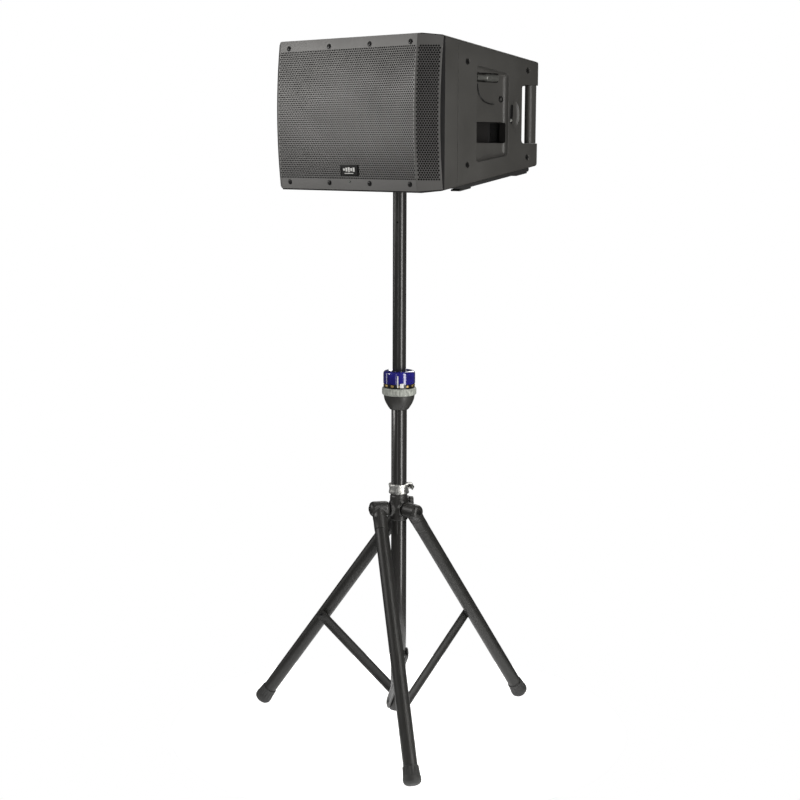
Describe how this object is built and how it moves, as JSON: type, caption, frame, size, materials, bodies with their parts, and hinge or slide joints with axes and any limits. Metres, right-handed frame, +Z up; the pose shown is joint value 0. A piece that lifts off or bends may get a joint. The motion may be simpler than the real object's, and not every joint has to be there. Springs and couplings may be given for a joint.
{
  "type": "pa speaker",
  "caption": "Wedge-shaped PA loudspeaker cabinet with a bowed perforated grille and recessed grips, on a telescoping folding tripod stand.",
  "frame": {"origin": "middle of the footprint on the floor, below the middle of the bounding box", "axes": "+Z up along the mast, the grille faces -Y, +X is the right-hand side of someone facing the grille"},
  "size_m": [0.7434, 0.7268, 1.7879],
  "materials": {
    "black_paint": "satin black powder coat",
    "black_plastic": "black moulded plastic",
    "cabinet_plastic": "dark grey moulded plastic, fine texture",
    "grille_steel": "charcoal powder-coated perforated steel",
    "rubber_black": "matt black rubber",
    "bright_steel": "bright zinc-plated steel",
    "brass_collet": "plain brass",
    "blue_cap": "clear blue moulded plastic",
    "ring_grey": "grey knurled plastic",
    "paper_cone": "black coated paper",
    "baffle_board": "black painted board",
    "badge": "plain pale badge plate",
    "lens": "small green lens",
    "fin_aluminium": "black anodised aluminium"
  },
  "bodies": {
    "stand_base": {"lower_tube": "black_paint", "foot_hub": "black_plastic", "collar_cone": "black_plastic", "collet": "brass_collet"},
    "collar": {"collar_ring": "ring_grey", "collar_cap": "blue_cap"},
    "mast": {"upper_tube": "black_paint"},
    "cabinet": {"amp_chassis": "bright_steel", "amp_panel": "black_paint", "badge_plate": "badge", "cabinet_shell": "cabinet_plastic", "compression_driver": "black_paint", "front_baffle": "baffle_board", "front_grille": "grille_steel", "handle_bar_left": "cabinet_plastic", "handle_bar_right": "cabinet_plastic", "heat_sink": "fin_aluminium", "horn_waveguide": "black_plastic", "input_jack_1": "black_plastic", "input_jack_2": "black_plastic", "lanyard_left": "rubber_black", "lanyard_right": "rubber_black", "link_jack": "black_plastic", "pole_socket": "black_paint", "power_inlet": "black_plastic", "skid_front_left": "rubber_black", "skid_front_right": "rubber_black", "skid_rail_left": "rubber_black", "skid_rail_right": "rubber_black", "skid_rear_left": "rubber_black", "skid_rear_right": "rubber_black", "status_led": "lens", "woofer_basket": "black_plastic", "woofer_magnet": "black_paint", "woofer_surround": "rubber_black"},
    "woofer": {"woofer_cone": "paper_cone", "dust_cap": "paper_cone"},
    "gain_1": {"gain_knob_1": "black_plastic"},
    "gain_2": {"gain_knob_2": "black_plastic"},
    "switch": {"power_switch": "black_plastic"},
    "pin_right": {"lock_pin_right": "bright_steel"},
    "pin_left": {"lock_pin_left": "bright_steel"},
    "hub": {"leg_hub": "black_plastic", "clamp_band": "bright_steel"},
    "clamp_wing": {"clamp_screw": "bright_steel"},
    "knob": {"hub_knob": "black_plastic"},
    "leg_1": {"leg_elbow_1": "black_plastic", "leg_tube_1": "black_paint", "foot_1": "rubber_black"},
    "brace_1": {"brace_1": "black_paint"},
    "leg_2": {"leg_elbow_2": "black_plastic", "leg_tube_2": "black_paint", "foot_2": "rubber_black"},
    "brace_2": {"brace_2": "black_paint"},
    "leg_3": {"leg_elbow_3": "black_plastic", "leg_tube_3": "black_paint", "foot_3": "rubber_black"},
    "brace_3": {"brace_3": "black_paint"}
  },
  "joints": [
    {"name": "mast_slide", "type": "slide", "parent": "stand_base", "child": "mast", "axis": [0, 0, 1], "range_m": [-0.4, 0.27]},
    {"name": "cabinet_swivel", "type": "hinge", "parent": "mast", "child": "cabinet", "pos_m": [0.04439, -0.06209, 1.458], "axis": [0, 0, 1], "continuous": true},
    {"name": "collar_turn", "type": "hinge", "parent": "stand_base", "child": "collar", "pos_m": [0.04439, -0.06209, 0.908], "axis": [0, 0, 1], "range_deg": [0, 90]},
    {"name": "hub_slide", "type": "slide", "parent": "stand_base", "child": "hub", "axis": [0, 0, 1], "range_m": [0, 0.1701]},
    {"name": "leg_fold_1", "type": "hinge", "parent": "hub", "child": "leg_1", "pos_m": [0.01282, -0.10712, 0.594], "axis": [0.5741, 0.8188, 0], "range_deg": [-0.5, 32.44]},
    {"name": "brace_fold_1", "type": "hinge", "parent": "stand_base", "child": "brace_1", "pos_m": [0.02861, -0.0846, 0.0632], "axis": [0.5741, 0.8188, 0], "range_deg": [-43.17, 0.5]},
    {"name": "leg_fold_2", "type": "hinge", "parent": "hub", "child": "leg_2", "pos_m": [0.09918, -0.06692, 0.594], "axis": [-0.9961, 0.0879, 0], "range_deg": [-0.5, 32.44]},
    {"name": "brace_fold_2", "type": "hinge", "parent": "stand_base", "child": "brace_2", "pos_m": [0.07179, -0.0645, 0.0632], "axis": [-0.9961, 0.0879, 0], "range_deg": [-43.17, 0.5]},
    {"name": "leg_fold_3", "type": "hinge", "parent": "hub", "child": "leg_3", "pos_m": [0.02118, -0.01222, 0.594], "axis": [0.422, -0.9066, 0], "range_deg": [-0.5, 32.44]},
    {"name": "brace_fold_3", "type": "hinge", "parent": "stand_base", "child": "brace_3", "pos_m": [0.03279, -0.03716, 0.0632], "axis": [0.422, -0.9066, 0], "range_deg": [-43.17, 0.5]},
    {"name": "clamp_wing_turn", "type": "hinge", "parent": "hub", "child": "clamp_wing", "pos_m": [0.07582, -0.04602, 0.653], "axis": [0.8188, -0.5741, 0], "continuous": true},
    {"name": "hub_knob_turn", "type": "hinge", "parent": "hub", "child": "knob", "pos_m": [0.06162, -0.03753, 0.615], "axis": [0.5741, 0.8188, 0], "continuous": true},
    {"name": "woofer_travel", "type": "slide", "parent": "cabinet", "child": "woofer", "axis": [0, 1, 0], "range_m": [-0.005, 0.005], "stiffness_N_per_m": 4000},
    {"name": "gain_turn_1", "type": "hinge", "parent": "cabinet", "child": "gain_1", "pos_m": [0.0244, 0.13251, 1.592], "axis": [0, 1, 0], "range_deg": [-150, 150]},
    {"name": "gain_turn_2", "type": "hinge", "parent": "cabinet", "child": "gain_2", "pos_m": [0.06939, 0.13251, 1.592], "axis": [0, 1, 0], "range_deg": [-150, 150]},
    {"name": "switch_rock", "type": "hinge", "parent": "cabinet", "child": "switch", "pos_m": [-0.0356, 0.13101, 1.554], "axis": [-1, 0, 0], "range_deg": [0, 16]},
    {"name": "pin_slide_right", "type": "slide", "parent": "cabinet", "child": "pin_right", "axis": [0, -1, 0], "range_m": [0, 0.008], "stiffness_N_per_m": 600},
    {"name": "pin_slide_left", "type": "slide", "parent": "cabinet", "child": "pin_left", "axis": [0, -1, 0], "range_m": [0, 0.008], "stiffness_N_per_m": 600}
  ],
  "couplings": [
    {"joint": "leg_fold_1", "follows": "hub_slide", "rad_per_m": 3.2777},
    {"joint": "brace_fold_1", "follows": "hub_slide", "rad_per_m": -4.3784},
    {"joint": "leg_fold_2", "follows": "hub_slide", "rad_per_m": 3.2777},
    {"joint": "brace_fold_2", "follows": "hub_slide", "rad_per_m": -4.3784},
    {"joint": "leg_fold_3", "follows": "hub_slide", "rad_per_m": 3.2777},
    {"joint": "brace_fold_3", "follows": "hub_slide", "rad_per_m": -4.3784}
  ]
}
